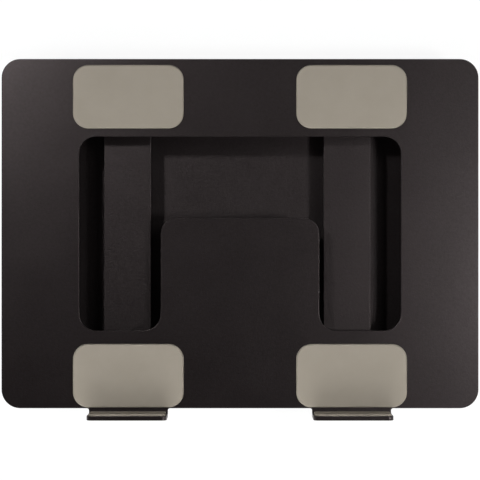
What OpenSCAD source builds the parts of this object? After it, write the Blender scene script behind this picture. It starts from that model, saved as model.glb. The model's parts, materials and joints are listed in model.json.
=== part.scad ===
// Folding laptop stand, modelled folded flat.
//
// A sheet top plate with two front hooks carries the laptop on silicone pads.  It turns on hinges at
// the rear ends of two flat arms, and the arms turn on hinges at the front edge of a base plate.
// Each hinge is an arm barrel held between two lugs by a bolt, with friction washers and disc springs
// that hold the arm where it is put.
//
// Millimetres.  +Z is up, +Y points to the rear and +X to the right of someone who faces the hooks.
// The origin is on the desk, under the middle of the folded stand.

/* [Top plate] */
// Width of the top plate
plate_w = 280; // [250:1:320]
// Depth of the top plate, hooks not counted
plate_d = 205; // [190:1:240]
// Thickness of the top plate's sheet
sheet_t = 2.5; // [2.2:0.1:4]
// Corner radius of the top plate
plate_r = 11; // [4:0.5:20]
// Width of the frame around the cut-out
frame_band = 45.5; // [42:0.5:50]
// Corner radius of the cut-out and of the tongue's root
cut_r = 10; // [4:0.5:14]
// Width of the tongue that reaches into the cut-out
tongue_w = 93; // [60:0.5:100]
// Length of the tongue
tongue_l = 66; // [30:1:75]
// Corner radius of the tongue's free end
tongue_r = 9; // [3:0.5:14]

/* [Front hooks] */
// Distance from the middle of the stand to the middle of a hook and of the pads behind it
hook_x = 65.5; // [60:0.5:72]
// Width of a hook
hook_w = 46.3; // [30:0.1:60]
// Height of a hook above the top plate
hook_h = 18; // [12:0.5:24]
// Length of flat sheet before a hook bends up
hook_flat = 1.4; // [1:0.1:3]
// Inner radius of a hook's bend
hook_bend_r = 1.4; // [1.2:0.1:3]
// Radius of a hook's upper corners
hook_corner_r = 3; // [1:0.5:5]
// Radius of the small fillets at a hook's root
hook_root_r = 1.3; // [0.4:0.1:1.6]

/* [Silicone pads] */
// Width of a top pad
pad_w = 65; // [50:0.5:72]
// Depth of a top pad
pad_d = 37.3; // [30:0.1:40]
// Thickness of a top pad
pad_t = 1.2; // [0.8:0.1:2.5]
// Corner radius of a top pad
pad_r = 9; // [3:0.5:14]
// Distance from the top plate's rear edge to the rear pads
rear_pad_inset = 3.5; // [1:0.1:4]
// Distance from the top plate's front edge to the front pads
front_pad_inset = 0.5; // [0.2:0.1:3]
// Thickness of the liner inside a hook
liner_t = 1.2; // [0.8:0.1:1.4]
// Hook left bare at each side of its liner and above it
liner_margin = 1; // [0.5:0.1:3]
// Radius of the liner's corners
liner_r = 2.2; // [1:0.1:4]

/* [Base] */
// Width of the base plate
base_w = 240; // [210:1:270]
// Thickness of the base plate
base_t = 5; // [4:0.1:8]
// Corner radius of the base plate
base_r = 11; // [4:0.5:20]
// Distance from the rear hinge axis forward to the base plate's rear edge
base_rear_inset = 1; // [0:0.5:10]
// Width of a foot pad
foot_w = 65; // [50:0.5:75]
// Depth of a foot pad
foot_d = 26; // [22:0.5:34]
// Thickness of a foot pad
foot_t = 2; // [1.4:0.1:3]
// Depth of the pocket that a foot pad is bonded in
foot_pocket = 0.5; // [0.3:0.1:1]
// Corner radius of a foot pad
foot_r = 8; // [3:0.5:10]
// Distance from the base plate's front and rear edges to the foot pads
foot_inset = 5; // [3:0.5:6.5]

/* [Arms] */
// Half the distance between the middles of the two arms
arm_x = 65; // [60:0.5:72]
// Distance that both arms sit left of the stand's middle
arm_offset = 1.6; // [0:0.1:3]
// Width of an arm
arm_w = 27.5; // [20:0.5:34]
// Thickness of an arm
arm_t = 4; // [3:0.1:6]
// Radius of the barrel at each end of an arm
barrel_r = 8; // [7.7:0.1:9]
// Radius of the fillet between an arm and its barrels
arm_fillet_r = 6; // [2:0.5:10]

/* [Hinges] */
// Wall left between a barrel's radius and the rim of its lugs
lug_rim = 0.3; // [0:0.1:1]
// Gap between a lug's rim and the plate that it faces when folded
fold_gap = 0.7; // [0.5:0.1:2]
// Distance from a hinge axis to the top plate's edge, beyond the lug's rim
hinge_edge = 1.2; // [0.5:0.1:3]
// Thickness of a lug
lug_t = 7.5; // [7.2:0.1:9]
// Web of a lug that the bolt passes through
web_t = 2.4; // [1.6:0.1:2.6]
// Length of a lug's foot from the hinge axis
lug_foot_l = 21; // [20:0.5:25]
// Height of a lug's foot at its end
lug_foot_h = 4; // [3.6:0.1:6]
// Radius of the recess in a lug for the bolt head or the nut
recess_r = 6; // [5.9:0.1:6.4]
// Radius of the hinge bolt
bolt_r = 3; // [2.5:0.1:3.2]
// Radius of the bolt's head
head_r = 5; // [4:0.1:5.6]
// Thickness of the bolt's head
head_t = 2.8; // [2:0.1:3]
// Radius of the hex socket in the bolt's head, to its corners
socket_r = 2.3; // [1.5:0.1:3]
// Depth of the hex socket in the bolt's head
socket_d = 1.4; // [1:0.1:1.6]
// Nut size across its flats
nut_af = 10; // [8:0.1:10.1]
// Thickness of the nut
nut_t = 2.4; // [2:0.1:2.4]
// Outer radius of the bush in a barrel
bush_r = 4.5; // [4:0.1:5.5]
// Thickness of a friction washer
washer_t = 0.8; // [0.5:0.1:1.5]
// Outer radius of a friction washer
washer_r = 7.4; // [6:0.1:7.6]
// Thickness of a disc spring's metal
spring_t = 0.35; // [0.2:0.05:0.4]
// Height that a disc spring's cone adds
spring_cone = 0.25; // [0.1:0.05:0.3]
// Outer radius of a disc spring
spring_r = 5.6; // [5:0.1:5.7]
// Thickness of a lug's cap
cap_t = 1; // [0.6:0.1:1]
// Chamfer around a cap's face
cap_chamfer = 0.25; // [0.1:0.05:0.4]

/* [Lug screws] */
// Radius of a lug screw's thread
screw_r = 1.5; // [1.2:0.1:1.6]
// Radius of a lug screw's countersunk head
screw_head_r = 2.9; // [2.6:0.1:3.2]
// Depth of the countersunk head
screw_head_h = 1.5; // [1.2:0.1:1.6]
// Radius of the hex socket in a screw's head, to its corners
screw_socket_r = 1.15; // [0.8:0.05:1.3]
// Depth of the hex socket in a screw's head
screw_socket_d = 1; // [0.6:0.1:1.1]
// Depth that a screw reaches into its lug
screw_bite = 3.2; // [2:0.1:3.3]
// Distance from the hinge axis to the nearer screw of a lug
screw_y = 8; // [7.5:0.1:9]
// Distance between the two screws of a lug
screw_pitch = 8.5; // [7:0.1:9.5]

/* [Clearances] */
// Radial clearance of the bolt in its bush
bush_clear = 0.05; // [0.02:0.01:0.1]
// Radial clearance of screws, nuts, bushes and caps in their holes
fit_clear = 0.05; // [0.02:0.01:0.1]
// Gap between a friction washer and the barrel
side_play = 0.05; // [0:0.01:0.2]
// Gap between the base plate's front edge and the top plate when the arms stand upright
swing_gap = 0.6; // [0.3:0.1:2]

/* [Hidden] */
$fn = 64;

black_coat = [0.07, 0.065, 0.065];
taupe_silicone = [0.59, 0.57, 0.52];
steel_grey = [0.55, 0.55, 0.56];
bronze = [0.68, 0.5, 0.3];
black_plastic = [0.1, 0.1, 0.1];

overlap = 1;                                     // how far a cut runs past the face that it opens

// Heights, from the desk up.
lug_r = barrel_r + lug_rim;
axis_off = lug_r + fold_gap;                     // from a plate's face to the hinge axis beside it
base_z = foot_t - foot_pocket;                   // underside of the base plate
hinge_z = base_z + base_t + axis_off;            // both hinge axes, when folded
sheet_z = hinge_z + axis_off;                    // underside of the top plate
top_z = sheet_z + sheet_t;

// Depths, from the rear to the hooks.
hook_out = hook_flat + hook_bend_r + sheet_t;    // how far a hook stands out of the front edge
rear_y = (plate_d + hook_out) / 2;
front_y = rear_y - plate_d;                      // front edge of the top plate
hinge_inset = lug_r + hinge_edge;
front_axis_y = front_y + hinge_inset;
rear_axis_y = rear_y - hinge_inset;
base_front_y = front_axis_y - axis_off + swing_gap;
base_rear_y = rear_axis_y - base_rear_inset;

// The hinge's stack along its axis, from the middle of the arm.
lug_x = arm_w / 2 + side_play + washer_t;        // inner face of a lug
lug_end_x = lug_x + lug_t;
seat_x = lug_x + web_t;                          // face that the head and the springs press on
springs_l = 2 * (spring_t + spring_cone);
nut_r = nut_af / 2 / cos(30);

// Thickness of the plate that a hinge's screws pass through.
function screwed_t(level) = level == "upper" ? sheet_t : base_t - foot_pocket;

// The two screws of a lug, and the tangent from the foot's end to the lug's rim.
screw_ys = [screw_y, screw_y + screw_pitch];
foot_end = [lug_foot_l, lug_foot_h - axis_off];
rim_angle = atan2(foot_end[1], foot_end[0]) + acos(lug_r / norm(foot_end));
rim_touch = lug_r * [cos(rim_angle), sin(rim_angle)];

// ---- shapes that repeat ----

// A rectangle with round corners, its middle at the origin.
module round_rect(w, d, r) {
    square([w - 2 * r, d], center = true);
    square([w, d - 2 * r], center = true);
    for (x = [-1, 1], y = [-1, 1])
        translate([x * (w / 2 - r), y * (d / 2 - r)]) circle(r);
}

// The corner that a concave fillet fills, its root at the origin and its curve in the +X +Y quadrant.
// It reaches a little into both neighbours.
module fillet_corner(r) {
    difference() {
        translate([-overlap, -overlap]) square(r + overlap);
        translate([r, r]) circle(r);
    }
}

// A rectangle from the origin whose lower left corner is round.
module bent_space(w, h, r) {
    translate([r, 0]) square([w - r, h]);
    translate([0, r]) square([w, h - r]);
    translate([r, r]) circle(r);
}

// Turns a drawing of depth (its x) and height (its y) into a solid along X, its middle at the origin.
module across(length) {
    translate([-length / 2, 0, 0])
        rotate([90, 0, 90]) linear_extrude(length) children();
}

// A cylinder along +X that starts at x.
module rod(x, length, r) {
    translate([x, 0, 0]) rotate([0, 90, 0]) cylinder(h = length, r = r);
}

// Puts the right side's piece, drawn with its middle at x = 0, on the side that is asked for.
module on_side(side, x) {
    if (side == "left") mirror([1, 0, 0]) translate([x, 0, 0]) children();
    else translate([x, 0, 0]) children();
}

// Puts a piece of an arm or its hinges on the side that is asked for.
module on_arm(side) {
    translate([-arm_offset, 0, 0]) on_side(side, arm_x) children();
}

// Puts a hinge piece, drawn around its axis with its plate below it, at its hinge.
module at_hinge(level, side) {
    on_arm(side)
        if (level == "upper") translate([0, rear_axis_y, hinge_z]) rotate([180, 0, 0]) children();
        else translate([0, front_axis_y, hinge_z]) children();
}

// ---- top plate ----

module tongue_shape() {
    root_y = frame_band - plate_d / 2;
    translate([-tongue_w / 2, root_y - overlap]) square([tongue_w, tongue_l - tongue_r + overlap]);
    translate([tongue_r - tongue_w / 2, root_y]) square([tongue_w - 2 * tongue_r, tongue_l]);
    for (x = [-1, 1]) {
        translate([x * (tongue_w / 2 - tongue_r), root_y + tongue_l - tongue_r]) circle(tongue_r);
        translate([x * tongue_w / 2, root_y]) scale([x, 1]) fillet_corner(cut_r);
    }
}

module plate_shape() {
    difference() {
        round_rect(plate_w, plate_d, plate_r);
        difference() {
            round_rect(plate_w - 2 * frame_band, plate_d - 2 * frame_band, cut_r);
            tongue_shape();
        }
    }
}

// A hook's section: flat sheet, the bend, and the upright lip.  The plate's front edge is at x = 0.
module hook_section() {
    translate([-hook_out, 0])
        difference() {
            bent_space(hook_out + overlap, sheet_t + hook_h, hook_bend_r + sheet_t);
            translate([sheet_t, sheet_t]) bent_space(hook_out + overlap, hook_h + overlap, hook_bend_r);
        }
}

// A hook's outline from the front, with round upper corners.
module hook_front() {
    height = sheet_t + hook_h;
    translate([-hook_w / 2, 0]) square([hook_w, height - hook_corner_r]);
    translate([hook_corner_r - hook_w / 2, 0]) square([hook_w - 2 * hook_corner_r, height]);
    for (x = [-1, 1])
        translate([x * (hook_w / 2 - hook_corner_r), height - hook_corner_r]) circle(hook_corner_r);
}

module hook() {
    intersection() {
        across(hook_w) hook_section();
        translate([0, overlap, 0]) rotate([90, 0, 0]) linear_extrude(hook_out + 2 * overlap) hook_front();
    }
    for (x = [-1, 1])
        linear_extrude(sheet_t)
            translate([x * hook_w / 2, 0]) scale([x, -1]) fillet_corner(hook_root_r);
}

module top_plate() {
    color(black_coat) difference() {
        translate([0, 0, sheet_z]) {
            translate([0, rear_y - plate_d / 2, 0]) linear_extrude(sheet_t) plate_shape();
            for (side = ["left", "right"])
                on_side(side, hook_x) translate([0, front_y, 0]) hook();
        }
        for (side = ["left", "right"]) at_hinge("upper", side) screw_holes(screwed_t("upper"));
    }
}

module pad(row, side) {
    y = row == "rear" ? rear_y - rear_pad_inset - pad_d / 2 : front_y + front_pad_inset + pad_d / 2;
    color(taupe_silicone)
        on_side(side, hook_x) translate([0, y, top_z]) linear_extrude(pad_t) round_rect(pad_w, pad_d, pad_r);
}

module hook_liner(side) {
    height = hook_h - hook_bend_r - liner_margin;
    color(taupe_silicone)
        on_side(side, hook_x)
            translate([0, front_y - hook_out + sheet_t + liner_t, top_z + hook_bend_r + height / 2])
                rotate([90, 0, 0]) linear_extrude(liner_t)
                    round_rect(hook_w - 2 * liner_margin, height, liner_r);
}

// ---- base ----

module at_foot(row, side) {
    y = row == "rear" ? base_rear_y - foot_inset - foot_d / 2 : base_front_y + foot_inset + foot_d / 2;
    on_side(side, arm_x) translate([0, y, 0]) children();
}

module base_plate() {
    depth = base_rear_y - base_front_y;
    color(black_coat) difference() {
        translate([0, base_rear_y - depth / 2, base_z]) linear_extrude(base_t)
            round_rect(base_w, depth, base_r);
        for (side = ["left", "right"]) {
            for (row = ["rear", "front"])
                at_foot(row, side) linear_extrude(foot_t)
                    round_rect(foot_w + 2 * fit_clear, foot_d + 2 * fit_clear, foot_r + fit_clear);
            at_hinge("lower", side) screw_holes(screwed_t("lower"));
        }
    }
}

module foot(row, side) {
    color(taupe_silicone) at_foot(row, side) linear_extrude(foot_t) round_rect(foot_w, foot_d, foot_r);
}

// ---- arms ----

// The fillets above and below the bar where it leaves a barrel at the origin towards +x.
module barrel_fillets() {
    centre = [sqrt((barrel_r + arm_fillet_r) ^ 2 - (arm_t / 2 + arm_fillet_r) ^ 2), arm_t / 2 + arm_fillet_r];
    for (up = [-1, 1])
        scale([1, up]) difference() {
            polygon([[0, 0], [centre[0], 0], centre]);
            translate(centre) circle(arm_fillet_r);
        }
}

module arm(side) {
    reach = rear_axis_y - front_axis_y;
    color(black_coat) on_arm(side) translate([0, front_axis_y, hinge_z])
        difference() {
            across(arm_w) {
                translate([0, -arm_t / 2]) square([reach, arm_t]);
                circle(barrel_r);
                barrel_fillets();
                translate([reach, 0]) {
                    circle(barrel_r);
                    scale([-1, 1]) barrel_fillets();
                }
            }
            for (y = [0, reach])
                translate([0, y, 0]) rod(-arm_w / 2 - overlap, arm_w + 2 * overlap, bush_r + fit_clear);
        }
}

// ---- hinge pieces, drawn for the right side with the bolt's head outside ----

module lug_section() {
    circle(lug_r);
    polygon([[0, 0], [-lug_r, 0], [-lug_r, -axis_off], [lug_foot_l, -axis_off], foot_end, rim_touch]);
}

// The outer lug.  The inner one is its mirror image.
module lug() {
    color(black_coat) difference() {
        translate([lug_x + lug_t / 2, 0, 0]) across(lug_t) lug_section();
        rod(lug_x - overlap, lug_t, bolt_r + 2 * fit_clear);
        rod(seat_x, lug_t, recess_r);
        for (y = screw_ys)
            translate([lug_x + lug_t / 2, y, -axis_off - overlap])
                cylinder(h = screw_bite + fit_clear + overlap, r = screw_r + fit_clear);
    }
}

module bolt() {
    shank_end = -seat_x - springs_l - nut_t;
    color(steel_grey) difference() {
        union() {
            rod(shank_end, seat_x + head_t - socket_d - shank_end, bolt_r);
            rod(seat_x, head_t, head_r);
        }
        translate([seat_x + head_t - socket_d, 0, 0]) rotate([0, 90, 0])
            cylinder(h = socket_d + overlap, r = socket_r, $fn = 6);
    }
}

module nut() {
    color(steel_grey) translate([-seat_x - springs_l - nut_t, 0, 0]) rotate([0, 90, 0]) difference() {
        cylinder(h = nut_t, r = nut_r, $fn = 6);
        translate([0, 0, -overlap]) cylinder(h = nut_t + 2 * overlap, r = bolt_r + fit_clear);
    }
}

module friction_washers() {
    color(steel_grey) for (x = [lug_x - washer_t, -lug_x])
        difference() {
            rod(x, washer_t, washer_r);
            rod(x - overlap, washer_t + 2 * overlap, bolt_r + 2 * fit_clear);
        }
}

// Two disc springs, rim to rim.
module disc_springs() {
    bore = bolt_r + 2 * fit_clear;
    color(steel_grey) for (turn = [0, 1])
        translate([-seat_x - springs_l / 2, 0, 0]) mirror([turn, 0, 0]) rotate([0, 90, 0]) rotate_extrude()
            polygon([
                [spring_r, 0],
                [bore, spring_cone],
                [bore, spring_cone + spring_t],
                [spring_r, spring_t]
            ]);
}

module cap() {
    r = recess_r - fit_clear;
    color(black_plastic) translate([lug_end_x - cap_t, 0, 0]) rotate([0, 90, 0]) rotate_extrude()
        polygon([[0, 0], [r, 0], [r, cap_t - cap_chamfer], [r - cap_chamfer, cap_t], [0, cap_t]]);
}

module bush() {
    color(bronze) difference() {
        rod(-arm_w / 2, arm_w, bush_r);
        rod(-arm_w / 2 - overlap, arm_w + 2 * overlap, bolt_r + bush_clear);
    }
}

// The countersunk screws that hold both lugs through a plate of thickness t.
module lug_screws(t) {
    color(steel_grey) at_screws(t) difference() {
        union() {
            cylinder(h = screw_head_h, r1 = screw_head_r, r2 = screw_r);
            cylinder(h = t + screw_bite, r = screw_r);
        }
        translate([0, 0, -overlap]) cylinder(h = overlap + screw_socket_d, r = screw_socket_r, $fn = 6);
    }
}

// The holes that those screws pass through.
module screw_holes(t) {
    at_screws(t) {
        cylinder(h = screw_head_h, r1 = screw_head_r + fit_clear, r2 = screw_r + fit_clear);
        translate([0, 0, -overlap]) cylinder(h = t + 2 * overlap, r = screw_r + fit_clear);
        translate([0, 0, -overlap]) cylinder(h = overlap, r = screw_head_r + fit_clear);
    }
}

module at_screws(t) {
    for (x = [-1, 1], y = screw_ys)
        translate([x * (lug_x + lug_t / 2), y, -axis_off - t]) children();
}

// One hinge piece by its name.
module hinge_piece(piece, level) {
    if (piece == "lug_outer") lug();
    if (piece == "lug_inner") mirror([1, 0, 0]) lug();
    if (piece == "bolt") bolt();
    if (piece == "nut") nut();
    if (piece == "friction_washers") friction_washers();
    if (piece == "disc_springs") disc_springs();
    if (piece == "cap_outer") cap();
    if (piece == "cap_inner") mirror([1, 0, 0]) cap();
    if (piece == "bush") bush();
    if (piece == "lug_screws") lug_screws(screwed_t(level));
}

// ---- the nodes ----

top_plate();
base_plate();
for (side = ["left", "right"]) {
    arm(side);
    hook_liner(side);
    for (row = ["rear", "front"]) {
        pad(row, side);
        foot(row, side);
    }
    for (level = ["lower", "upper"],
         piece = ["lug_outer", "lug_inner", "bolt", "nut", "friction_washers", "disc_springs",
                  "cap_outer", "cap_inner", "bush", "lug_screws"])
        at_hinge(level, side) hinge_piece(piece, level);
}
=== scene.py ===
# %% [markdown]
# # A folding laptop stand
#
# The stand is made of black coated aluminium: a sheet top plate with two hooks along its front edge,
# two flat arms under it, and a base plate that they fold down on.  Silicone pads keep the laptop and
# the desk from being scratched.  The construction is already solved in a imported model: every piece at
# its size and place, on three bodies called base, arms and plate.  This lesson gives it its looks.
#
# The imported model comes in first, as a fixed frame.

# %% Load the frame
import json
import math

import bmesh
import bpy
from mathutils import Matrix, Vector


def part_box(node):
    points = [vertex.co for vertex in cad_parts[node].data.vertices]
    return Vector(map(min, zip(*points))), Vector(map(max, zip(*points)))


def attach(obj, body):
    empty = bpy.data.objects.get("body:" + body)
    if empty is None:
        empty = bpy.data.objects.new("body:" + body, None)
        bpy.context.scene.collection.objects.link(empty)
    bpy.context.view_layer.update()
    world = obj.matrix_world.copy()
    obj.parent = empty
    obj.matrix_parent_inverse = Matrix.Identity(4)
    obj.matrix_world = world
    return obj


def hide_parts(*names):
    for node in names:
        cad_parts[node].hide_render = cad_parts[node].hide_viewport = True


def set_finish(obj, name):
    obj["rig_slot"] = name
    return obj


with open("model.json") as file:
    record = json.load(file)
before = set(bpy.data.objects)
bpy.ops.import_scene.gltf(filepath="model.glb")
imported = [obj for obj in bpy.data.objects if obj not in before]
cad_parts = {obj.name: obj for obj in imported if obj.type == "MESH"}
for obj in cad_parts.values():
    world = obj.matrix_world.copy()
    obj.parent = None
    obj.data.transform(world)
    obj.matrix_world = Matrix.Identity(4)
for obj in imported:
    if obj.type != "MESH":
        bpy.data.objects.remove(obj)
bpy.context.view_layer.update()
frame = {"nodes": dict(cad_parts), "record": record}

bodies = frame["record"]["behaviour"]["bodies"]
body_of = {node: body for body, nodes in bodies.items() for node in nodes}
slot_of = {row["node"]: row["material_slot"] for row in frame["record"]["subparts"]}
print("bodies:", {body: len(nodes) for body, nodes in bodies.items()})

# %% [markdown]
# ## Sizes
#
# Blender works in metres, and the frame is in metres too.  A maker thinks of this stand in
# millimetres, so one value turns the one into the other.  Places are read from the frame's own
# boxes wherever a box gives them.  A box can't tell radii, bends, rounded edges, the hooks' width or
# the cut-out, so those are written here.

# %% Sizes that the frame can't tell
MM = 0.001

sheet = 2.5 * MM            # thickness of the top plate's sheet
plate_corner = 11 * MM      # radius of the top plate's corners
band = 45.5 * MM            # width of the frame around the cut-out
cutout_corner = 10 * MM
tongue_width = 93 * MM
tongue_length = 66 * MM
tongue_corner = 9 * MM
hook_width = 46.3 * MM
hook_flat = 1.4 * MM        # flat stretch before a hook's bend
bend_radius = 1.4 * MM      # inside radius of that bend
hook_corner = 3 * MM
hook_root = 1.3 * MM        # little fillets where a hook leaves the front edge
pad_corner = 9 * MM
liner_corner = 2.2 * MM
base_corner = 11 * MM
foot_corner = 8 * MM
sheet_edge = 0.25 * MM      # how far each kind of piece has its edges rounded
base_edge = 0.6 * MM
milled_edge = 0.2 * MM
cap_edge = 0.15 * MM

plate_low, plate_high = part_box("top_plate")
plate_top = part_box("pad_rear_left")[0].z
plate_rear = plate_high.y
hook_reach = hook_flat + bend_radius + sheet
plate_front = plate_low.y + hook_reach
hook_middle = sum(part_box("hook_liner_right"), Vector()).x / 2
print(f"plate {(plate_high.x - plate_low.x) / MM:.0f} x {(plate_rear - plate_front) / MM:.0f} mm,",
      f"its top {plate_top / MM:.1f} mm above the desk")

# %% [markdown]
# ## Working in edit mode from a script
#
# By hand, you click on the corners or edges that you want and then press a key.  A script picks them
# by where they are or which way they face.  `edit` opens a piece, `pick` selects what passes a test,
# and `close` goes back to object mode.  Everything else is deselected first, because an operator
# acts on all that is selected.

# %% Helpers that open a piece and pick parts of it
same_place = 0.01 * MM
facing = 0.99               # how squarely a face looks along a direction, where 1 is exactly


def only(piece):
    bpy.ops.object.select_all(action="DESELECT")
    piece.select_set(True)
    bpy.context.view_layer.objects.active = piece


def edit(piece):
    only(piece)
    bpy.ops.object.mode_set(mode="EDIT")


def close():
    bpy.ops.object.mode_set(mode="OBJECT")


def pick(kind, test):
    """Selects what passes the test: corners ("VERT"), edges ("EDGE") or faces ("FACE")."""
    bpy.ops.mesh.select_mode(type=kind)
    bpy.ops.mesh.select_all(action="DESELECT")
    mesh = bmesh.from_edit_mesh(bpy.context.edit_object.data)
    parts = {"VERT": mesh.verts, "EDGE": mesh.edges, "FACE": mesh.faces}[kind]
    chosen = [part for part in parts if test(part)]
    for part in chosen:
        part.select_set(True)
    mesh.select_flush_mode()
    bmesh.update_edit_mesh(bpy.context.edit_object.data)
    return len(chosen)


def near(a, b):
    return abs(a - b) < same_place


def middle(edge):
    return (edge.verts[0].co + edge.verts[1].co) / 2


print("helpers ready")

# %% [markdown]
# ## Blocks with round corners
#
# Pads, feet and the base plate all begin as a flat block with round corners.  One way is to draw the
# outline and extrude it.  A quicker one is a cube at its final size whose four upright edges are
# bevelled as far as the corner's radius, which gives exact quarter circles.

# %% A block with round corners
def rounded_block(name, low, high, corner, steps=12):
    low, high = Vector(low), Vector(high)
    bpy.ops.object.select_all(action="DESELECT")
    bpy.ops.mesh.primitive_cube_add(size=1, location=(low + high) / 2)
    piece = bpy.context.object
    piece.name = name
    piece.scale = high - low
    bpy.ops.object.transform_apply(location=True, rotation=True, scale=True)
    edit(piece)
    pick("EDGE", lambda e: near(e.verts[0].co.x, e.verts[1].co.x)
         and near(e.verts[0].co.y, e.verts[1].co.y))
    bpy.ops.mesh.bevel(offset=corner, segments=steps, profile=0.5, affect="EDGES", clamp_overlap=False)
    close()
    return piece


print("a block takes its low corner, its high corner and its corner radius")

# %% [markdown]
# ## Finishing steps that every hard piece shares
#
# No real edge is perfectly sharp.  The coat needs a small radius to hold on to, and that radius is
# what draws the thin bright line along an edge that faces the light.  A Bevel modifier rounds every
# edge sharper than a given angle, and a Weighted Normal modifier then keeps the wide flats looking
# flat.  Boolean cuts are modifiers too.  All of them are applied, so the mesh is what you see.

# %% Modifiers, applied
def apply(piece, kind, **settings):
    only(piece)
    modifier = piece.modifiers.new(kind.lower(), kind)
    for name, value in settings.items():
        setattr(modifier, name, value)
    bpy.ops.object.modifier_apply(modifier=modifier.name)


def round_edges(piece, radius, steps=3, sharper_than=40):
    apply(piece, "BEVEL", width=radius, segments=steps, limit_method="ANGLE",
          angle_limit=math.radians(sharper_than), use_clamp_overlap=False, miter_outer="MITER_ARC")


def even_shading(piece, sharper_than=35):
    only(piece)
    bpy.ops.object.shade_smooth_by_angle(angle=math.radians(sharper_than))
    apply(piece, "WEIGHTED_NORMAL", keep_sharp=True)


def cut(piece, cutter):
    apply(piece, "BOOLEAN", operation="DIFFERENCE", object=cutter, solver="EXACT")
    bpy.data.objects.remove(cutter)


def stand_for(piece, node):
    """The finished piece rides on the node's body, shows in the node's place and takes its slot."""
    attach(piece, body_of[node])
    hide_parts(node)
    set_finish(piece, slot_of[node])
    return piece


print("modifiers: bevel, weighted normal, boolean")

# %% [markdown]
# ## The top plate, bent from one sheet
#
# The real plate is one sheet of aluminium: laser cut, its two tabs folded up into hooks, then blasted
# and coated.  It is modelled the same way.  A flat face is cut to the outline, the tabs are pulled
# out of the front edge, and a spin of a quarter turn bends them up.  Only then does a Solidify
# modifier give the sheet its thickness, which keeps it equal all through the bend.

# %% The flat outline with its two tabs
bpy.ops.object.select_all(action="DESELECT")
bpy.ops.mesh.primitive_plane_add(size=1, location=(0, (plate_rear + plate_front) / 2, plate_top))
top_plate = bpy.context.object
top_plate.name = "top_plate_sheet"
top_plate.scale = (plate_high.x - plate_low.x, plate_rear - plate_front, 1)
bpy.ops.object.transform_apply(location=True, rotation=True, scale=True)

hook_sides = [side * hook_middle + end * hook_width / 2 for side in (-1, 1) for end in (-1, 1)]
tab_end = plate_front - hook_flat
edit(top_plate)
for x in hook_sides:
    bpy.ops.mesh.select_all(action="SELECT")
    bpy.ops.mesh.bisect(plane_co=(x, 0, 0), plane_no=(1, 0, 0))
pick("EDGE", lambda e: near(middle(e).y, plate_front) and near(abs(middle(e).x), hook_middle))
bpy.ops.mesh.extrude_region_move(TRANSFORM_OT_translate={"value": (0, -hook_flat, 0)})
pick("EDGE", lambda e: not e.is_boundary)
bpy.ops.mesh.dissolve_edges(use_verts=False)
close()
print("outline:", len(top_plate.data.vertices), "corners,", len(top_plate.data.polygons), "face")

# %% Round the plate's corners and the tabs' roots
edit(top_plate)
pick("VERT", lambda v: near(abs(v.co.x), plate_high.x))
bpy.ops.mesh.bevel(offset=plate_corner, segments=14, profile=0.5, affect="VERTICES", clamp_overlap=False)
pick("VERT", lambda v: near(v.co.y, plate_front) and any(near(v.co.x, x) for x in hook_sides))
bpy.ops.mesh.bevel(offset=hook_root, segments=4, profile=0.5, affect="VERTICES", clamp_overlap=False)
close()
print("outline:", len(top_plate.data.vertices), "corners after rounding")

# %% Bend the tabs up into hooks
edit(top_plate)
pick("EDGE", lambda e: near(middle(e).y, tab_end) and near(abs(middle(e).x), hook_middle))
bpy.ops.mesh.spin(steps=8, angle=math.radians(90), center=(0, tab_end, plate_top + bend_radius),
                  axis=(1, 0, 0), dupli=False)
lip_height = plate_high.z - plate_top - bend_radius
bpy.ops.mesh.extrude_region_move(TRANSFORM_OT_translate={"value": (0, 0, lip_height)})
pick("VERT", lambda v: near(v.co.z, plate_high.z))
bpy.ops.mesh.bevel(offset=hook_corner, segments=6, profile=0.5, affect="VERTICES", clamp_overlap=False)
close()
apply(top_plate, "SOLIDIFY", thickness=sheet, offset=-1, use_even_offset=True)
lowest = min(v.co.z for v in top_plate.data.vertices)
print(f"hooks {lip_height / MM:.0f} mm tall above the bend; sheet from {lowest / MM:.1f} mm up")

# %% [markdown]
# ## The U-shaped cut-out
#
# The cut-out lets air reach the laptop, and its tongue carries the middle of a small one.  A cutter
# of that shape is a flat face, split along the tongue's edges, with the tongue's cell taken out.
# Once its inner edges are dissolved, all eight corners are plain corners of one face, so they can
# be rounded.  Extruded through the sheet, it makes one clean Boolean cut.

# %% The cutter, and the cut
cut_half = plate_high.x - band
cut_rear = plate_rear - band
cut_front = plate_front + band
tongue_end = cut_front + tongue_length
tongue_half = tongue_width / 2
cutter_reach = 2 * sheet    # how far the cutter goes below and above the plate's top face

bpy.ops.object.select_all(action="DESELECT")
bpy.ops.mesh.primitive_plane_add(size=1, location=(0, (cut_rear + cut_front) / 2, plate_top - cutter_reach))
cutter = bpy.context.object
cutter.scale = (2 * cut_half, cut_rear - cut_front, 1)
bpy.ops.object.transform_apply(location=True, rotation=True, scale=True)
edit(cutter)
for place, across in [((-tongue_half, 0, 0), (1, 0, 0)), ((tongue_half, 0, 0), (1, 0, 0)),
                      ((0, tongue_end, 0), (0, 1, 0))]:
    bpy.ops.mesh.select_all(action="SELECT")
    bpy.ops.mesh.bisect(plane_co=place, plane_no=across)
pick("FACE", lambda f: abs(f.calc_center_median().x) < tongue_half
     and f.calc_center_median().y < tongue_end)
bpy.ops.mesh.delete(type="FACE")
pick("EDGE", lambda e: not e.is_boundary)
bpy.ops.mesh.dissolve_edges(use_verts=False)
pick("VERT", lambda v: near(v.co.y, tongue_end) and near(abs(v.co.x), tongue_half))
bpy.ops.mesh.bevel(offset=tongue_corner, segments=12, profile=0.5, affect="VERTICES", clamp_overlap=False)
pick("VERT", lambda v: (near(v.co.y, cut_front) and near(abs(v.co.x), tongue_half))
     or (near(abs(v.co.x), cut_half) and (near(v.co.y, cut_front) or near(v.co.y, cut_rear))))
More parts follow.
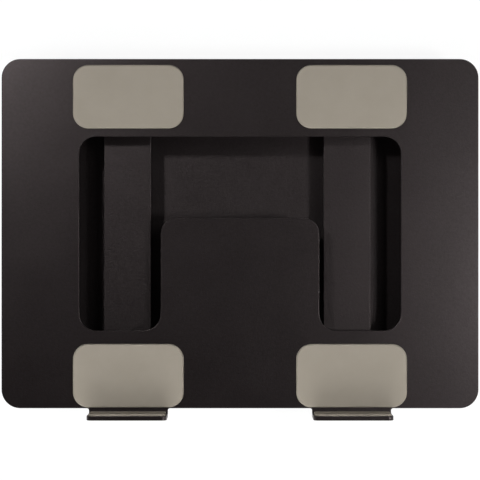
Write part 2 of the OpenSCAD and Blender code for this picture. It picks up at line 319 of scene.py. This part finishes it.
bpy.ops.mesh.bevel(offset=cutout_corner, segments=12, profile=0.5, affect="VERTICES", clamp_overlap=False)
bpy.ops.mesh.select_all(action="SELECT")
bpy.ops.mesh.extrude_region_move(TRANSFORM_OT_translate={"value": (0, 0, 2 * cutter_reach)})
bpy.ops.mesh.select_all(action="SELECT")
bpy.ops.mesh.normals_make_consistent(inside=False)
close()
cut(top_plate, cutter)
round_edges(top_plate, sheet_edge)
even_shading(top_plate)
stand_for(top_plate, "top_plate")
print("top plate:", len(top_plate.data.polygons), "faces")

# %% [markdown]
# ## Silicone pads, liners and feet
#
# Pads like these are moulded in a flat tray.  Their upper rim comes out of the mould with a soft
# round edge, and the underside is flat, for the glue.  Each one is a rounded block, and only the rim
# that faces away from the metal is bevelled.  The liners inside the hooks are the same thing on edge:
# the block is rounded at its corners in the upright plane, and its rear rim is soft.

# %% A moulded rim
pad_rim = 0.75              # each rim's radius, as a share of the piece's thickness
foot_rim = 0.4
liner_rim = 0.5


def soften_rim(piece, faces_out, radius, steps=4):
    """Rounds the rim of the face that looks along faces_out."""
    outwards = Vector(faces_out)
    edit(piece)
    pick("FACE", lambda f: f.normal.dot(outwards) > facing)
    bpy.ops.mesh.region_to_loop()
    bpy.ops.mesh.bevel(offset=radius, segments=steps, profile=0.5, affect="EDGES", clamp_overlap=False)
    close()
    even_shading(piece, sharper_than=50)


print("rims ready")

# %% Pads with their soft rim above, and feet with theirs below
def lying_block(node, corner, faces_out, rim):
    low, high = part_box(node)
    piece = rounded_block(node + "_moulded", low, high, corner)
    soften_rim(piece, faces_out, rim * (high.z - low.z))
    return stand_for(piece, node)


places = [f"{row}_{side}" for row in ("rear", "front") for side in ("left", "right")]
foot_names = [f"foot_{place}" for place in places]
pads = [lying_block(f"pad_{place}", pad_corner, (0, 0, 1), pad_rim) for place in places]
feet = [lying_block(node, foot_corner, (0, 0, -1), foot_rim) for node in foot_names]
print("pads:", len(pads), "feet:", len(feet))

# %% Liners inside the hooks
for side in ("left", "right"):
    node = f"hook_liner_{side}"
    low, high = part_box(node)
    size = high - low
    liner = rounded_block(node + "_moulded", (-size.x / 2, -size.z / 2, 0),
                          (size.x / 2, size.z / 2, size.y), liner_corner, steps=6)
    liner.rotation_euler = (math.radians(-90), 0, 0)
    liner.location = ((low.x + high.x) / 2, low.y, (low.z + high.z) / 2)
    only(liner)
    bpy.ops.object.transform_apply(location=True, rotation=True, scale=True)
    soften_rim(liner, (0, 1, 0), liner_rim * size.y)
    stand_for(liner, node)
print("liners: 2")

# %% [markdown]
# ## The base plate
#
# The base is a thick plate, because its weight keeps the open stand from tipping.  Its underside has
# four shallow pockets that the feet are glued in.  Each pocket is cut with a slightly larger copy of
# its foot, and then all the edges are rounded a little more than the sheet's.

# %% The base plate and its pockets
pocket_clearance = 0.05 * MM
around = Vector((pocket_clearance, pocket_clearance, 0))
low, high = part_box("base_plate")
base_plate = rounded_block("base_plate_milled", low, high, base_corner, steps=14)
for node in foot_names:
    foot_low, foot_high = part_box(node)
    pocket = rounded_block("pocket", foot_low - around, foot_high + around, foot_corner + pocket_clearance)
    cut(base_plate, pocket)
round_edges(base_plate, base_edge)
even_shading(base_plate)
stand_for(base_plate, "base_plate")
print("base plate:", len(base_plate.data.polygons), "faces")

# %% [markdown]
# ## Arms and hinge lugs
#
# An arm is cut from a bar with a barrel at each end, and the lugs beside it are small milled blocks.
# Their shapes, with bores and recesses, are right in the frame already, so nothing is drawn again.
# A copy of each is merged into one skin, its flats are cleaned of needless edges, and its edges
# are rounded.

# %% Copies with rounded edges
weld_distance = 0.001 * MM
flat_within = math.radians(0.5)


def milled_copy(node):
    piece = bpy.data.objects.new(node + "_milled", frame["nodes"][node].data.copy())
    bpy.context.scene.collection.objects.link(piece)
    edit(piece)
    bpy.ops.mesh.select_all(action="SELECT")
    bpy.ops.mesh.remove_doubles(threshold=weld_distance)
    bpy.ops.mesh.dissolve_limited(angle_limit=flat_within)
    close()
    round_edges(piece, milled_edge)
    even_shading(piece)
    return stand_for(piece, node)


milled = [milled_copy(node) for node in body_of if node.startswith(("arm_", "lug_outer", "lug_inner"))]
print("milled pieces:", len(milled))

# %% [markdown]
# ## Hinge caps
#
# Each lug's recess is closed by a small moulded cap.  A plain disc would do from afar, but a moulded
# one has a dished face inside a raised ring.  A cylinder laid along X gets two insets on the face
# that looks outwards, and the inner one is pushed in.

# %% Dished caps
ring_width = 1.1 * MM
dish_slope = 0.5 * MM
dish_depth = 0.3 * MM


def moulded_cap(node):
    low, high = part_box(node)
    arm_low, arm_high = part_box("arm_right" if low.x > 0 else "arm_left")
    outwards = math.copysign(1, low.x + high.x - arm_low.x - arm_high.x)
    bpy.ops.object.select_all(action="DESELECT")
    bpy.ops.mesh.primitive_cylinder_add(vertices=48, radius=(high.y - low.y) / 2, depth=high.x - low.x,
                                        location=(low + high) / 2, rotation=(0, math.radians(90), 0))
    cap = bpy.context.object
    cap.name = node + "_moulded"
    bpy.ops.object.transform_apply(location=True, rotation=True, scale=True)
    edit(cap)
    pick("FACE", lambda f: f.normal.x * outwards > facing)
    bpy.ops.mesh.inset(thickness=ring_width, depth=0)
    bpy.ops.mesh.inset(thickness=dish_slope, depth=-dish_depth)
    close()
    round_edges(cap, cap_edge, steps=2, sharper_than=25)
    even_shading(cap)
    return stand_for(cap, node)


caps = [moulded_cap(node) for node in body_of if node.startswith("cap_")]
print("caps:", len(caps))

# %% [markdown]
# ## Materials as arithmetic
#
# A material is a graph of nodes.  Drawn by hand it is a web of noodles, but a formula reads better in
# a script.  `Value` wraps a socket, so that a + b adds a Math node, and `Graph.node` adds any other
# node with its settings and what goes into it.

# %% A value that flows through a material
class Value:
    """A node's output.  Arithmetic on it adds Math nodes, and 1 - mask works as on paper."""

    def __init__(self, graph, socket):
        self.graph = graph
        self.socket = socket

    def _math(self, operation, first, second):
        return self.graph.node("ShaderNodeMath", {"operation": operation}, {0: first, 1: second})

    def __add__(self, other):
        return self._math("ADD", self, other)

    def __rsub__(self, other):
        return self._math("SUBTRACT", other, self)

    def __mul__(self, other):
        return self._math("MULTIPLY", self, other)

    def __pow__(self, other):
        return self._math("POWER", self, other)

    __radd__ = __add__
    __rmul__ = __mul__


class Graph:
    """The nodes of one material, or of the world."""

    def __init__(self, tree):
        self.tree = tree

    def node(self, kind, settings, inputs, output=0):
        """Adds a node: its settings come first, then the values or links of its inputs."""
        node = self.tree.nodes.new(kind)
        for name, value in settings.items():
            setattr(node, name, value)
        for name, value in inputs.items():
            self.set(node.inputs[name], value)
        return Value(self, node.outputs[output]) if node.outputs else None

    def set(self, socket, value):
        if isinstance(value, Value):
            self.tree.links.new(value.socket, socket)
        else:
            socket.default_value = value

    def mix(self, amount, low, high):
        """A colour between low and high."""
        ends = {6: (*low, 1), 7: (*high, 1)}
        return self.node("ShaderNodeMix", {"data_type": "RGBA"}, {0: amount, **ends}, output=2)


print("a value and a graph")

# %% [markdown]
# ## A finish: one shader, and noise at a real size
#
# Every finish on the stand is one Principled shader.  What is the same all over is set on the
# shader itself.  What changes over the surface comes from noise in Object coordinates, whose grain is
# given in millimetres, so that blasted aluminium is as fine on the large plate as on a small lug.

# %% The base of every finish
class Finish(Graph):
    def __init__(self, name, fixed):
        self.material = bpy.data.materials.new(name)
        self.material.use_nodes = True
        super().__init__(self.material.node_tree)
        self.shader = next(n for n in self.tree.nodes if n.type == "BSDF_PRINCIPLED")
        for socket, value in fixed.items():
            self.shader.inputs[socket].default_value = value
        self.place = self.node("ShaderNodeTexCoord", {}, {}, output="Object")

    def noise(self, grain, detail=2.0, stretch=(1, 1, 1)):
        """Soft noise from 0 to 1.  Its blotches are as large as the grain, times stretch along an axis."""
        scale = tuple(1 / (grain * along) for along in stretch)
        spot = self.node("ShaderNodeMapping", {}, {"Vector": self.place, "Scale": scale})
        return self.node("ShaderNodeTexNoise", {}, {"Vector": spot, "Scale": 1.0, "Detail": detail})

    def drive(self, socket, value):
        self.set(self.shader.inputs[socket], value)

    def bump(self, height, depth):
        """Raises the surface by up to depth where height is 1."""
        self.drive("Normal", self.node("ShaderNodeBump", {}, {"Height": height, "Distance": depth}))


print("a finish")

# %% [markdown]
# ## Black coat on blasted aluminium
#
# The metal is blasted with fine grit before it is coated black, so it is a field of tiny pits: it
# spreads a lamp into a wide soft sheen and shows a faint sparkle.  Four noises make it.  The finest
# is the pits.  Specks of about a millimetre give the mottle that still shows at arm's length.  The
# marks of coarser grit give a little less light back, because a share of Metallic on a nearly black
# colour reflects almost nothing.  Wide clouds vary the colour and the roughness, as a dipped coat
# does.
#
# The arms and the base plate are cut from thicker bar than the top plate's rolled sheet, and come
# out of the blasting a little rougher.

# %% Black coat
def black_coat(name, rough):
    finish = Finish(name, {"IOR": 1.58, "Specular Tint": (1.0, 0.86, 0.865, 1)})
    pits = finish.noise(0.35 * MM, detail=3)
    specks = finish.noise(0.9 * MM, detail=3)
    grit = finish.noise(1.45 * MM, detail=3)
    clouds = finish.noise(22 * MM, detail=4)
    tone = 0.4 * clouds + 0.6 * specks
    finish.drive("Base Color", finish.mix(tone, (0.0008, 0.0002, 0.0003), (0.0024, 0.0014, 0.0015)))
    finish.drive("Metallic", 0.32 * grit)
    finish.drive("Roughness", rough + 0.06 * clouds + 0.08 * pits + 0.24 * specks)
    finish.bump(0.6 * pits + specks, 0.06 * MM)
    return finish.material


sheet_coat = black_coat("black_coat", 0.20)
bar_coat = black_coat("black_coat_on_bar", 0.23)
print(sheet_coat.name, bar_coat.name)

# %% [markdown]
# ## Silicone
#
# Warm grey silicone is matt, with the fine texture of its mould and hardly any gloss.  Soft clouds
# in its colour keep a wide pad from looking printed.

# %% Silicone
def silicone():
    finish = Finish("silicone", {"Specular IOR Level": 0.15})
    grain = finish.noise(0.22 * MM, detail=2)
    clouds = finish.noise(14 * MM, detail=3)
    tone = 0.7 * clouds + 0.3 * grain
    finish.drive("Base Color", finish.mix(tone, (0.273, 0.243, 0.199), (0.327, 0.293, 0.244)))
    finish.drive("Roughness", 0.72 + 0.12 * grain)
    finish.bump(grain, 0.02 * MM)
    return finish.material


grey_silicone = silicone()
print(grey_silicone.name)

# %% [markdown]
# ## Hinge metals and cap plastic
#
# Turned and stamped steel shows fine marks that run around the hinge's axis.  That axis lies along X,
# so noise that is short along X and long across it gives such marks.  The bushes are sintered
# bronze, full of tiny dark pores that hold their oil.  The caps are black plastic with the fine spark
# texture of their mould.

# %% Steel, bronze and plastic
def turned_steel(name, dark, light, rough):
    finish = Finish(name, {"Metallic": 1.0})
    marks = finish.noise(0.12 * MM, detail=2, stretch=(1, 25, 25))
    clouds = finish.noise(3 * MM, detail=3)
    finish.drive("Base Color", finish.mix(0.5 * marks + 0.5 * clouds, dark, light))
    finish.drive("Roughness", rough + 0.15 * marks)
    finish.bump(marks, 0.01 * MM)
    return finish.material


def sintered_bronze():
    finish = Finish("bronze", {"Metallic": 1.0})
    pores = finish.noise(0.18 * MM, detail=2) ** 3.0
    finish.drive("Base Color", finish.mix(3 * pores, (0.56, 0.33, 0.15), (0.16, 0.09, 0.04)))
    finish.drive("Roughness", 0.32 + 0.5 * pores)
    finish.bump(1 - pores, 0.02 * MM)
    return finish.material


def moulded_plastic():
    finish = Finish("black_plastic", {"Specular IOR Level": 0.45})
    sparks = finish.noise(0.16 * MM, detail=3)
    finish.drive("Base Color", finish.mix(sparks, (0.010, 0.010, 0.0105), (0.018, 0.018, 0.019)))
    finish.drive("Roughness", 0.42 + 0.15 * sparks)
    finish.bump(sparks, 0.02 * MM)
    return finish.material


finishes = {
    "black_coat": sheet_coat,
    "silicone": grey_silicone,
    "steel": turned_steel("steel", (0.40, 0.40, 0.41), (0.60, 0.60, 0.61), 0.25),
    "spring_steel": turned_steel("spring_steel", (0.20, 0.20, 0.22), (0.34, 0.34, 0.36), 0.30),
    "black_screw": turned_steel("black_screw", (0.020, 0.020, 0.022), (0.040, 0.040, 0.043), 0.35),
    "bronze": sintered_bronze(),
    "black_plastic": moulded_plastic(),
}
print("finishes:", ", ".join(finishes))

# %% [markdown]
# ## Dressing every piece
#
# The frame's own nodes take a finish in their material slots, and their meshes aren't touched.  A new
# piece takes the finish of the slot that it was given when it took its node's place, and the arms
# and the base plate take the rougher grade of the black coat.

# %% Give every piece its finish
for node, part in frame["nodes"].items():
    finish = finishes[slot_of[node]]
    if not part.material_slots:
        part.data.materials.append(finish)
    for holder in part.material_slots:
        holder.material = finish

new_pieces = [o for o in bpy.data.objects if o.type == "MESH" and o.get("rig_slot")]
for piece in new_pieces:
    cut_from_bar = piece.name.startswith(("arm_", "base_plate"))
    piece.data.materials.clear()
    piece.data.materials.append(bar_coat if cut_from_bar else finishes[piece["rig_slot"]])
print("new pieces:", len(new_pieces), "nodes:", len(frame["nodes"]))

# %% [markdown]
# ## The floor and the room
#
# The stand lies on a plain white floor.  The room is dim overhead, so that the black plate stays
# black, and brighter at the horizon.  It is brightest there in reflections, which draw the edges and
# upright faces of metal.

# %% Floor
floor_width = 8
floor_grey = (0.82, 0.82, 0.82, 1)
plain_white = (1, 1, 1, 1)
white_strength = 1.08
white_share = 0.85          # the rest is matt, and keeps the stand's shadow

bpy.ops.object.select_all(action="DESELECT")
bpy.ops.mesh.primitive_plane_add(size=floor_width, location=(0, 0, 0))
floor = bpy.context.object
floor.name = "floor"

floor_paint = bpy.data.materials.new("floor_paint")
floor_paint.use_nodes = True
floor_paint.node_tree.nodes.clear()
paint = Graph(floor_paint.node_tree)
seen = (paint.node("ShaderNodeLightPath", {}, {}, output="Is Camera Ray")
        + paint.node("ShaderNodeLightPath", {}, {}, output="Is Glossy Ray")
        + paint.node("ShaderNodeLightPath", {}, {}, output="Is Transmission Ray"))
matt = paint.node("ShaderNodeBsdfDiffuse", {}, {"Color": floor_grey})
white = paint.node("ShaderNodeEmission", {}, {"Color": plain_white, "Strength": white_strength})
paint.node("ShaderNodeOutputMaterial", {}, {
    "Surface": paint.node("ShaderNodeMixShader", {}, {0: white_share * seen, 1: matt, 2: white})})
floor.data.materials.append(floor_paint)
print("floor ready")

# %% Room light
overhead = 0.015            # strength of the light from straight above
horizon = 0.30              # and from the side
shine = 0.88                # what reflections see on top of that, at the horizon
backdrop = 0.925            # what the camera sees
falloff = 3.0               # how fast the horizon's light fades upwards

room = bpy.data.worlds.new("room")
bpy.context.scene.world = room
room.use_nodes = True
room.node_tree.nodes.clear()
air = Graph(room.node_tree)
ray = air.node("ShaderNodeTexCoord", {}, {}, output="Generated")
up = air.node("ShaderNodeMath", {"operation": "ABSOLUTE"},
              {0: air.node("ShaderNodeSeparateXYZ", {}, {0: ray}, output="Z")})
camera_ray = air.node("ShaderNodeLightPath", {}, {}, output="Is Camera Ray")
glossy_ray = air.node("ShaderNodeLightPath", {}, {}, output="Is Glossy Ray")
glow = overhead + (horizon - overhead + shine * glossy_ray) * (1 - up) ** falloff
air.node("ShaderNodeOutputWorld", {}, {
    "Surface": air.node("ShaderNodeBackground", {}, {
        "Color": plain_white, "Strength": backdrop * camera_ray + (1 - camera_ray) * glow})})
print("room ready")

# %% [markdown]
# ## Lamps
#
# A lamp's power follows from the share of the light that it should give on a face that lies flat.
# An area lamp of P watts at a distance d lights such a face with P cos(a) / (pi d d), where a is how
# far the lamp stands from straight above.  A share of 1 then shows a colour as it was written.

# %% A soft round lamp
stand_middle = Vector((0, 0, plate_top))


def soft_lamp(name, direction, distance, size, share):
    towards = Vector(direction).normalized()
    light = bpy.data.lights.new(name, "AREA")
    light.shape = "DISK"
    light.size = size
    light.energy = share * math.pi ** 2 * distance ** 2 / towards.z
    lamp = bpy.data.objects.new(name, light)
    bpy.context.scene.collection.objects.link(lamp)
    lamp.location = stand_middle + towards * distance
    lamp.rotation_euler = towards.to_track_quat("Z", "Y").to_euler()
    lamp.visible_camera = False
    return lamp


print("a lamp takes its direction, distance, size and share")

# %% [markdown]
# ## Light for the metal and light for the silicone
#
# Black metal answers a lamp almost only with its sheen, and silicone almost only with its matt
# colour.  In a studio the lamps are moved about until both look right.  A script can be more direct:
# Ray Visibility leaves a lamp out of the sheen or out of the matt light, so each can have its own.
# The sheen comes from a small lamp behind to the left, which draws the shadows in the cut-out, from
# one to the right, and from a faint broad one.  A faint low one in front shows from behind, where
# the base would else be a flat black shape.  The matt light comes mostly from the sides and the
# front, where the hooks shade the pads behind them.

# %% Eight soft lamps
for name, direction, distance, size, share in [
        ("sheen_rear_left", (-0.86, 0.67, 1), 0.64, 0.06, 0.613),
        ("sheen_right", (0.94, -0.11, 1), 0.58, 0.10, 0.452),
        ("sheen_broad", (0.75, 0.44, 1), 2.1, 1.0, 0.143),
        ("sheen_low_front", (-0.35, -2.4, 1), 1.3, 0.9, 0.083)]:
    soft_lamp(name, direction, distance, size, share).visible_diffuse = False

for name, direction, distance, size, share in [
        ("matt_rear_left", (-0.86, 0.67, 1), 0.64, 0.06, 0.10),
        ("matt_right", (0.94, -0.11, 1), 0.58, 0.10, 0.36),
        ("matt_left", (-1.1, -0.3, 1), 0.8, 0.5, 0.30),
        ("matt_front", (-0.1, -1.6, 1), 0.9, 0.8, 0.34)]:
    soft_lamp(name, direction, distance, size, share).visible_glossy = False
print("four lamps for the sheen and four for the matt light")

# %% [markdown]
# ## The camera
#
# The stand is seen from straight above, from about a metre away.  From there a long lens shows the
# base and the arms at nearly the plate's own scale, and the hooks only just lean outwards.

# %% Camera straight above
camera_height = 0.95        # above the top plate
camera_forward = 1.1 * MM   # from the middle towards the hooks
camera = bpy.data.objects.new("camera", bpy.data.cameras.new("camera"))
bpy.context.scene.collection.objects.link(camera)
bpy.context.scene.camera = camera
camera.location = (0, -camera_forward, plate_top + camera_height)
camera.data.sensor_width = 36
camera.data.lens = 121.4
camera.data.clip_start = 0.01
bpy.context.scene.view_settings.view_transform = "Standard"
print("camera ready")

# %% [markdown]
# ## The size
#
# Looks must not change the stand's size.


print("done")
